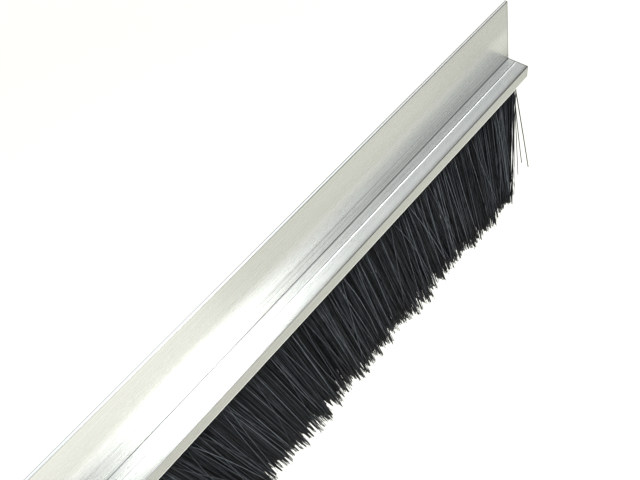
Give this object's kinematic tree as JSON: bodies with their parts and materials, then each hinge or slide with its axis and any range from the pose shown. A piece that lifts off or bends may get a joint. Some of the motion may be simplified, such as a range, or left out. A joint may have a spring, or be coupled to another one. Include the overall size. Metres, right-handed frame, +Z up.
{
  "type": "brush door sweep",
  "caption": "Straight brush door sweep: a mill-finish aluminium flange and box holder with a black filament strip brush that slides into it and flexes under the door.",
  "frame": {"origin": "centre of the holder's rear face, the face that lies against the door", "axes": "+X along the strip towards its open end, +Y into the door, +Z up, so the filaments hang along -Z"},
  "size_m": [0.9144, 0.0113, 0.1144],
  "materials": {
    "mill_aluminium": "mill finish, fine lengthwise extrusion lines",
    "galvanised_steel": "galvanised, dull",
    "steel_wire": "drawn wire",
    "black_filament": "extruded nylon filament, slight gloss"
  },
  "bodies": {
    "holder": {"holder_extrusion": "mill_aluminium"},
    "brush_strip": {"backing_channel": "galvanised_steel", "core_wire": "steel_wire", "filament_roots": "black_filament"},
    "bank_1": {"tuft_01": "black_filament", "tuft_02": "black_filament", "tuft_03": "black_filament", "tuft_04": "black_filament", "tuft_05": "black_filament", "tuft_06": "black_filament"},
    "bank_2": {"tuft_07": "black_filament", "tuft_08": "black_filament", "tuft_09": "black_filament", "tuft_10": "black_filament", "tuft_11": "black_filament", "tuft_12": "black_filament"},
    "bank_3": {"tuft_13": "black_filament", "tuft_14": "black_filament", "tuft_15": "black_filament", "tuft_16": "black_filament", "tuft_17": "black_filament", "tuft_18": "black_filament"},
    "bank_4": {"tuft_19": "black_filament", "tuft_20": "black_filament", "tuft_21": "black_filament", "tuft_22": "black_filament", "tuft_23": "black_filament", "tuft_24": "black_filament"},
    "bank_5": {"tuft_25": "black_filament", "tuft_26": "black_filament", "tuft_27": "black_filament", "tuft_28": "black_filament", "tuft_29": "black_filament", "tuft_30": "black_filament"},
    "bank_6": {"tuft_31": "black_filament", "tuft_32": "black_filament", "tuft_33": "black_filament", "tuft_34": "black_filament", "tuft_35": "black_filament", "tuft_36": "black_filament"}
  },
  "joints": [
    {"name": "brush_slide", "type": "slide", "parent": "holder", "child": "brush_strip", "axis": [1, 0, 0], "range_m": [0, 0.92]},
    {"name": "bank_1_flex", "type": "hinge", "parent": "brush_strip", "child": "bank_1", "pos_m": [0, -0.0056, -0.03048], "axis": [1, 0, 0], "range_deg": [-40, 40], "stiffness_Nm_per_rad": 0.2},
    {"name": "bank_2_flex", "type": "hinge", "parent": "brush_strip", "child": "bank_2", "pos_m": [0, -0.0056, -0.03048], "axis": [1, 0, 0], "range_deg": [-40, 40], "stiffness_Nm_per_rad": 0.2},
    {"name": "bank_3_flex", "type": "hinge", "parent": "brush_strip", "child": "bank_3", "pos_m": [0, -0.0056, -0.03048], "axis": [1, 0, 0], "range_deg": [-40, 40], "stiffness_Nm_per_rad": 0.2},
    {"name": "bank_4_flex", "type": "hinge", "parent": "brush_strip", "child": "bank_4", "pos_m": [0, -0.0056, -0.03048], "axis": [1, 0, 0], "range_deg": [-40, 40], "stiffness_Nm_per_rad": 0.2},
    {"name": "bank_5_flex", "type": "hinge", "parent": "brush_strip", "child": "bank_5", "pos_m": [0, -0.0056, -0.03048], "axis": [1, 0, 0], "range_deg": [-40, 40], "stiffness_Nm_per_rad": 0.2},
    {"name": "bank_6_flex", "type": "hinge", "parent": "brush_strip", "child": "bank_6", "pos_m": [0, -0.0056, -0.03048], "axis": [1, 0, 0], "range_deg": [-40, 40], "stiffness_Nm_per_rad": 0.2}
  ]
}
